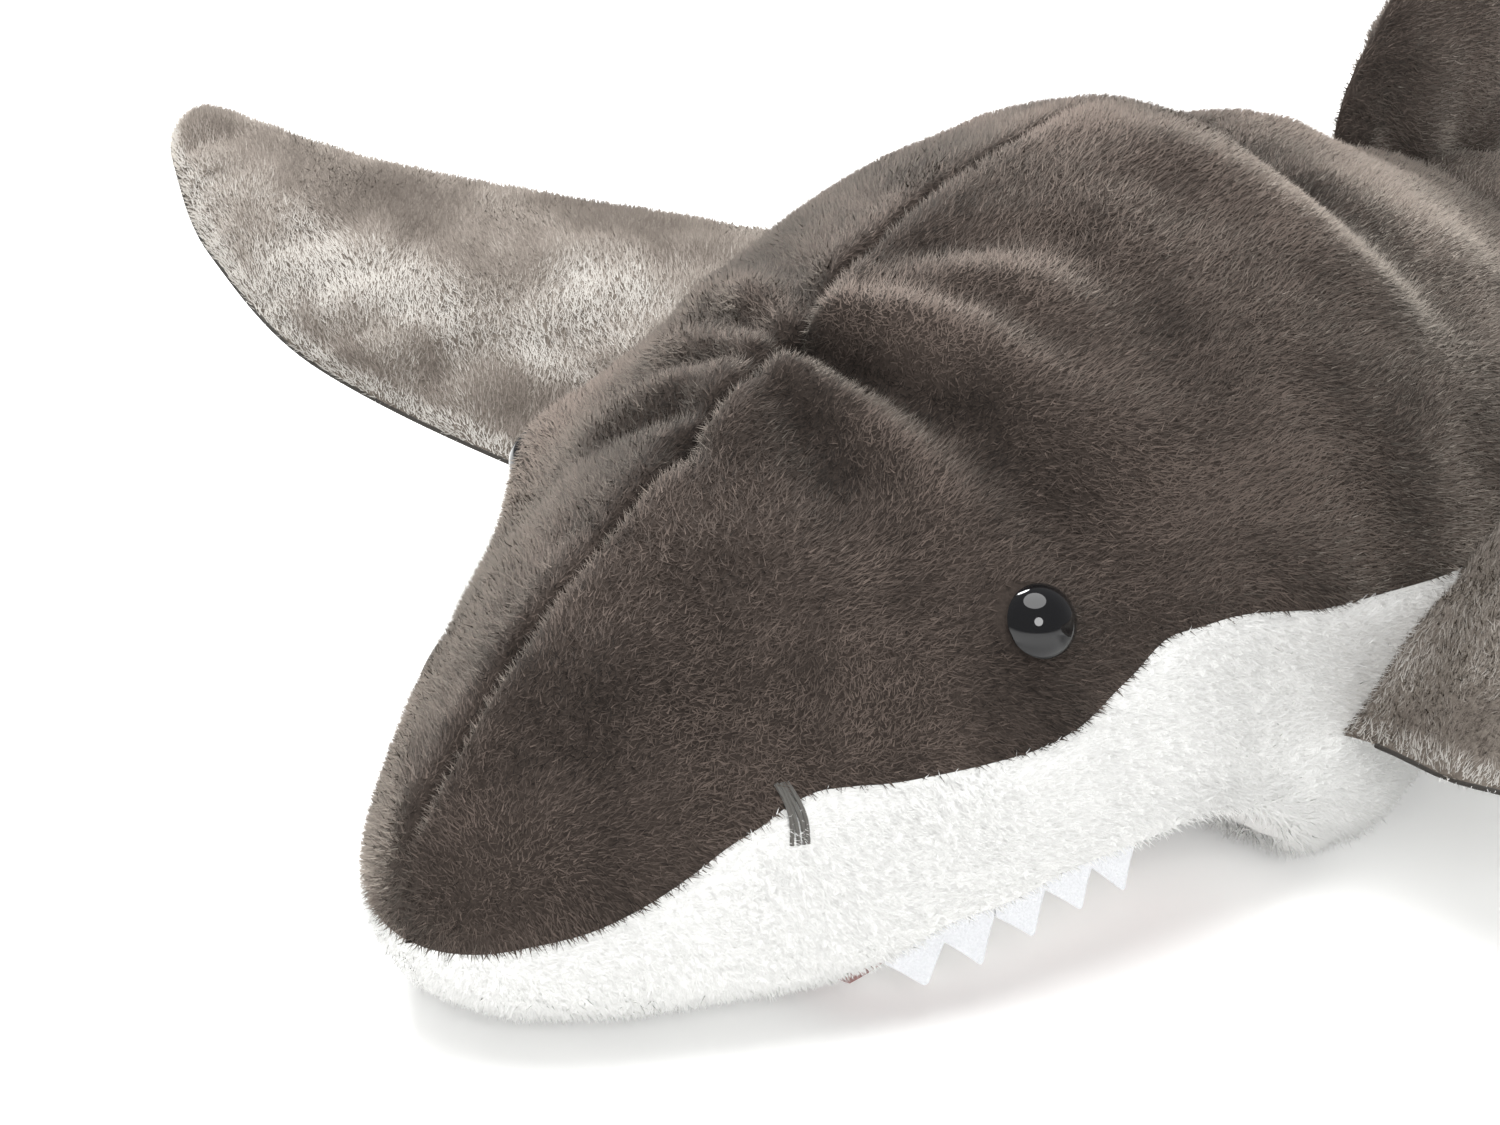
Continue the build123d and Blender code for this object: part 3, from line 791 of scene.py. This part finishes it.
# places where a fin's pile is painted darker or lighter, painted shade and painted highlight where the
# nap
# turns from or towards the light: out from the root, along the chord, shade, and the width each way
FIN_PAINTED_LIGHT_PATCHES = (
    (178, 50, -0.55, 38, 21), (115, 98, -0.7, 42, 25), (232, 44, -0.2, 26, 20), (60, 0, -0.45, 24, 11),
    (120, 12, 0.35, 60, 15), (75, 48, 0.3, 35, 22), (165, -6, 0.2, 30, 12),
)
# the lit shades of the grey pile for the fins (painted light)
lit_fin_pile = pile_materials("lit_fin_pile", FIN_LIT_SHADES, 0.3, GREY_TINT)
for side, word in ((1, "left"), (-1, "right")):
    mirror = np.array([side, 1, 1])
    root = np.array(PECTORAL_ROOT) * mirror
    outwards = unit((1, 0, 0.22)) * mirror
    rise = unit((-0.22, -0.28, 1)) * mirror
    chord = unit(np.cross(rise, outwards)) * side
    first_is_top = np.dot(np.cross(outwards, chord), rise) > 0
    faces_of_fin = fin_skins(PECTORAL, root, chord, outwards, seed=70 + 5 * side, ease=0.006)
    fin = f"{word}_fin"
    leading_edge = faces_of_fin[0].points[::2, 0]

    def fin_shade(points, line=leading_edge, root=root, outwards=outwards, chord=chord):
        """Cream along the leading edge, and patches of painted shade and painted highlight."""
        gap = np.min(np.linalg.norm(points[:, None] - line[None], axis=-1), axis=1)
        shade = 0.75 * smoothstep(9, 2, gap)
        out, along = (points - root) @ outwards, (points - root) @ chord
        # painted shade and painted highlights in patches
        for at, at_along, shift, spread, spread_along in FIN_PAINTED_LIGHT_PATCHES:
            out_gap = ((out - at) / spread) ** 2
            along_gap = ((along - at_along) / spread_along) ** 2
            shade += shift * np.exp(-out_gap - along_gap)
        return shade

    # a thin dark line along the leading edge, where the top meets the underside
    points, faces = [], []
    strand(points, faces, leading_edge[3:-6] + 0.3 * outwards - 0.5 * rise, 0.75)
    seam = new_object(f"{fin}_seam", points, faces)
    seam.data.materials.append(fin_edge_dark_line)
    bend_fin(seam, root)
    for name, top, cloth, shades_here, slot in (
        ("top", True, lit_fin_cloth, lit_fin_pile, "grey_fleece"),
        ("underside", False, white_cloth, white_pile, "white_fleece"),
    ):
        skin = faces_of_fin[0 if top == first_is_top else 1]
        piece = skin.mesh(f"{fin}_{name}_cloth", cloth)
        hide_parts(f"{fin}_{name}")
        if top:
            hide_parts(f"{fin}_filling")
        hairs = pile(
            f"{fin}_{name}_pile", skin, shades_here, 1.5 if top else 0.9, 3.0, 0.45, 56,
            80 + 2 * top + side, 0.8 * outwards + 0.6 * chord,
            paler=fin_shade if top else None, mottle=0.13, grain=0.1, unevenness=0.08,
        )
        for part in (piece, hairs):
            bend_fin(part, root)

for fin, holder, sections, root, chord, outwards, start, end, along_chord in (
    ("dorsal_fin", "body", DORSAL, DORSAL_ROOT, unit((0, 1, -0.24)), unit((0, 0.24, 1)), 0, 30, False),
    ("tail_fin", "tail", CAUDAL, (0, 0, 0), unit((0, 1, 0)), unit((0, 0, 1)), 784, 802, True),
):
    faces_of_fin = fin_skins(sections, root, chord, outwards, seed=90)
    for side, word, skin in ((1, "left", faces_of_fin[1]), (-1, "right", faces_of_fin[0])):
        piece = skin.mesh(f"{fin}_cloth_{word}", grey_cloth)
        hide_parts(f"{fin}_panel_{word}")
        if side > 0:
            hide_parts(f"{fin}_filling")
        hairs = pile(
            f"{fin}_pile_{word}", skin, grey_pile, 1.0, 3.1, 0.45, 54, 95 + side, 0.5 * outwards + chord
        )
        for part in (piece, hairs):
            if along_chord:
                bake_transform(part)
            else:
                bend_fin(part, root)

# ---- Mouth ----
felt = fleece_material("white_felt", (0.68, 0.69, 0.715), (0.8, 0.81, 0.835), grain_mm=0.7, sheen=0.1)
lining_cloth = fleece_material(
    "mouth_fabric", (0.36, 0.19, 0.18), (0.46, 0.27, 0.255), grain_mm=0.6, sheen=0.2
)
TOOTH_HEIGHT = 11
TOOTH_THICKNESS = 1.7
TOOTH_RAKE = 0.72  # where the tip is along its base
# along the base and down, with the tip at 1, -1
TOOTH_OUTLINE = (
    (0.0, 0.55), (0.0, 0.0), (0.3, -0.3), (0.6, -0.6), (0.93, -0.95), (1.0, -1.0), (1.07, -0.96),
    (1.17, -0.65), (1.27, -0.33), (1.38, 0.0), (1.38, 0.55),
)
FRONT_TEETH = 7
SIDE_TEETH = 5
SIDE_TEETH_SPAN = (92, 161)
MOUTH_MIDDLE = (0.0, 150.0, 30.0)


def tooth(points, faces, start, finish, inwards, seed):
    """A felt triangle that hangs from the line start-finish."""
    rng = np.random.default_rng(seed)
    run = finish - start
    height = TOOTH_HEIGHT * rng.uniform(0.93, 1.05)
    rake = TOOTH_RAKE + rng.uniform(-0.05, 0.05)
    first = len(points)
    for shift in (-0.5, 0.5):
        for across, down in TOOTH_OUTLINE:
            curl = -1.2 * max(0, -down) ** 2
            place = start + run * (across * rake) + np.array([0, 0, 1.0]) * down * height
            points.append(place + inwards * (shift * TOOTH_THICKNESS + curl))
    n = len(TOOTH_OUTLINE)
    faces.append(tuple(first + k for k in range(n)))
    faces.append(tuple(first + n + k for k in reversed(range(n))))
    for k in range(n):
        m = (k + 1) % n
        faces.append((first + k, first + n + k, first + n + m, first + m))


def teeth(name, line, node, seed):
    """A row of teeth, one on each stretch of the line."""
    points, faces = [], []
    for k, (start, finish) in enumerate(zip(line[:-1], line[1:])):
        run = finish - start
        inwards = np.cross(run, (0, 0, 1.0))
        inwards /= np.linalg.norm(inwards)
        if inwards @ (np.array(MOUTH_MIDDLE) - start) < 0:
            inwards = -inwards
        tooth(points, faces, start, finish, inwards, seed + k)
    obj = new_object(name, points, faces, smooth=False)
    obj.data.materials.append(felt)
    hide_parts(node)
    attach(obj, "body")
    return obj


span = np.linspace(*SIDE_TEETH_SPAN, SIDE_TEETH + 1)
for side, word in ((1, "left"), (-1, "right")):
    line = np.stack([side * (lip_edge(span) - 5), span, lip_curve(np.maximum(span, 100)) - 2.6], -1)
    teeth(f"teeth_{word}", line, f"upper_teeth_{word}", 40 + 10 * side)
front = np.linspace(-1, 1, FRONT_TEETH + 1)
front_line = np.stack([front * (lip_edge(np.array(90.0)) - 30), 92 + 0 * front, 17 + 0 * front], -1)
teeth("teeth_front", front_line, "upper_teeth_front", 60)


def mouth_piece(name, points, material, body, nodes):
    """A padded piece of the mouth that rides on one body."""
    rows, columns = points.shape[:2]
    obj = new_object(name, points, grid_faces(rows, columns, flip=True))
    obj.data.materials.append(material)
    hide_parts(*nodes)
    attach(obj, body)
    return obj


# the roof of the mouth
distance = np.linspace(91, 206, 60)[:, None]
across = np.linspace(-1, 1, 80)[None]
half_width = lip_edge(distance) - 9
height = lip_curve(distance) - 1.0 + 0 * across
palate = np.stack([across * half_width, distance + 0 * across, height], -1)
palate[..., 2] += 0.8 * drift(palate, 40, 61) - 1.2 * (1 - across ** 2)
palate[..., 2] = np.maximum(palate[..., 2], 3)
mouth_piece("palate", palate, lining_cloth, "body", ["palate_lining"])

# the lower jaw: a boat-shaped pad, white below and lined on top
JAW = (100, 205)
JAW_WIDTH = curve(((100, 74), (130, 92), (190, 100), (205, 100)))
JAW_BOTTOM = 3.5


def jaw_skin(turns):
    """The pad's surface over these turns about its length, from pi / 2 on top to 3 pi / 2 below."""
    distance = JAW[0] + (JAW[1] - JAW[0]) * (1 - np.cos(np.pi * np.linspace(0, 1, 70)))[:, None] / 2
    edge = np.minimum(distance - JAW[0], JAW[1] - distance)
    close = np.sqrt(1 - (1 - np.clip(edge / 12, 0, 1)) ** 2)
    top = np.minimum(15 + 0.294 * (distance - 88) - 1.6, lip_curve(distance) - 3.5)
    middle = (top + JAW_BOTTOM) / 2
    upward, sideways = np.sin(turns)[None], np.cos(turns)[None]
    z = middle + (top - JAW_BOTTOM) / 2 * close * np.sign(upward) * np.abs(upward) ** 0.6
    narrow = 1 - 0.25 * (top - z) / (top - JAW_BOTTOM)
    x = (JAW_WIDTH(distance) - 12 * (1 - close)) * narrow * np.sign(sideways) * np.abs(sideways) ** 0.6
    points = np.stack([x, distance + 0 * x, z], -1)
    normals = grid_normals(points, -1)
    return points + normals * (0.6 * drift(points, 35, 62))[..., None]


JAW_SEAM = 0.5
cover = jaw_skin(np.linspace(np.pi - JAW_SEAM, 2 * np.pi + JAW_SEAM, 120))
mouth_piece(
    "jaw_cover", cover, white_cloth, "lower_jaw",
    ["lower_jaw_cover", "lower_jaw_filling"],
)
lining = jaw_skin(np.linspace(JAW_SEAM, np.pi - JAW_SEAM, 90))
mouth_piece("jaw_lining", lining, lining_cloth, "lower_jaw", ["lower_jaw_lining"])
jaw_pile = pile("jaw_pile", Skin(cover, True), white_pile, 0.5, 4.0, 0.5, 50, 63, (0, 1, -0.3))
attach(jaw_pile, "lower_jaw")

# ---- Nostrils: four strands of thread that lie side by side ----
thread, _ = principled("thread", (0.085, 0.08, 0.072), 0.6, Sheen_Weight=0.3)
STRANDS = 4
STRAND_RADIUS = 0.62
for side, word in ((1, "left"), (-1, "right")):
    cloth_points = np.concatenate([skins[side, upper].points.reshape(-1, 3) for upper in (True, False)])
    nearest = cloth_points[np.argmin(np.linalg.norm(cloth_points[:, 1:] - np.array(NOSTRIL), axis=1))]
    place = np.array(NOSTRIL, float)
    plain = body_point(place[0], turn_at_height(*place), side)
    sunk = nearest[0] - plain[0] + side * 1.6
    points, faces = [], []
    for k in range(STRANDS):
        t = np.linspace(0, 1, 16)
        z = NOSTRIL[1] + 7.5 - 15 * t
        middle = NOSTRIL[0] + 2.1 - 0.4 * t + 0.3 * np.sin(np.pi * t)
        y = middle + (k - 1.5) * (0.8 + 0.4 * t) + 0.2 * np.sin(5 * t + 2 * k)
        x = body_point(y, turn_at_height(y, z), side)[:, 0] + sunk
        x = x + side * (1.1 * np.sin(np.pi * t) - 0.2)
        strand(points, faces, np.stack([x, y, z], -1), STRAND_RADIUS)
    obj = new_object(f"nostril_{word}", points, faces)
    obj.data.materials.append(thread)
    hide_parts(f"nostril_stitch_{word}")
    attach(obj, "body")

# ---- Eyes ----
eye_material, _ = principled("eye_plastic", (0.004, 0.004, 0.005), 0.03)
for word in ("left", "right"):
    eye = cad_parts[f"eye_{word}"]
    eye.data.materials.clear()
    eye.data.materials.append(eye_material)

# ---- Stage ----
FLOOR = 25.0  # half its side in metres
corners = [(-FLOOR, -FLOOR, 0), (FLOOR, -FLOOR, 0), (FLOOR, FLOOR, 0), (-FLOOR, FLOOR, 0)]
floor_mesh = bpy.data.meshes.new("floor")
floor_mesh.from_pydata(corners, [], [(0, 1, 2, 3)])
floor_paper, _ = principled(
    "floor_paper", (0.93, 0.93, 0.92), 0.9, Emission_Color=(1, 1, 1, 1), Emission_Strength=0.22
)
floor_mesh.materials.append(floor_paper)
floor = bpy.data.objects.new("floor", floor_mesh)
bpy.context.scene.collection.objects.link(floor)


def area_light(name, place, target, size, power):
    data = bpy.data.lights.new(name, "AREA")
    data.shape = "DISK"
    data.size = size
    data.energy = power
    lamp = bpy.data.objects.new(name, data)
    lamp.location = place
    lamp.rotation_euler = (Vector(target) - Vector(place)).to_track_quat("-Z", "Y").to_euler()
    bpy.context.scene.collection.objects.link(lamp)


world = bpy.data.worlds.new("studio")
world.use_nodes = True
world.node_tree.nodes["Background"].inputs["Color"].default_value = (1, 1, 1, 1)
world.node_tree.nodes["Background"].inputs["Strength"].default_value = 0.36
bpy.context.scene.world = world
area_light("key", (-1.5, 0.5, 1.5), (0, -0.2, 0.1), 1.0, 66)
area_light("top", (0.0, -0.3, 2.2), (0, -0.2, 0), 2.0, 46)
area_light("fill", (1.5, -1.6, 1.2), (0, -0.25, 0.1), 0.9, 20)

# ---- Camera, at the photograph's angle ----
CAMERA_AZIMUTH, CAMERA_ELEVATION = 41, 23  # degrees
camera_data = bpy.data.cameras.new("camera")
camera_data.lens = 75
camera_data.sensor_width = 36
camera = bpy.data.objects.new("camera", camera_data)
azimuth, elevation = np.radians(CAMERA_AZIMUTH), np.radians(CAMERA_ELEVATION)
back_way = Vector((
    np.sin(azimuth) * np.cos(elevation), -np.cos(azimuth) * np.cos(elevation), np.sin(elevation)
))
camera.location = (0.522, NOSE_Y * MM - 0.4656, 0.4342)
camera.rotation_euler = (-back_way).to_track_quat("-Z", "Y").to_euler()
bpy.context.scene.collection.objects.link(camera)
bpy.context.scene.camera = camera
bpy.context.scene.view_settings.view_transform = "Standard"
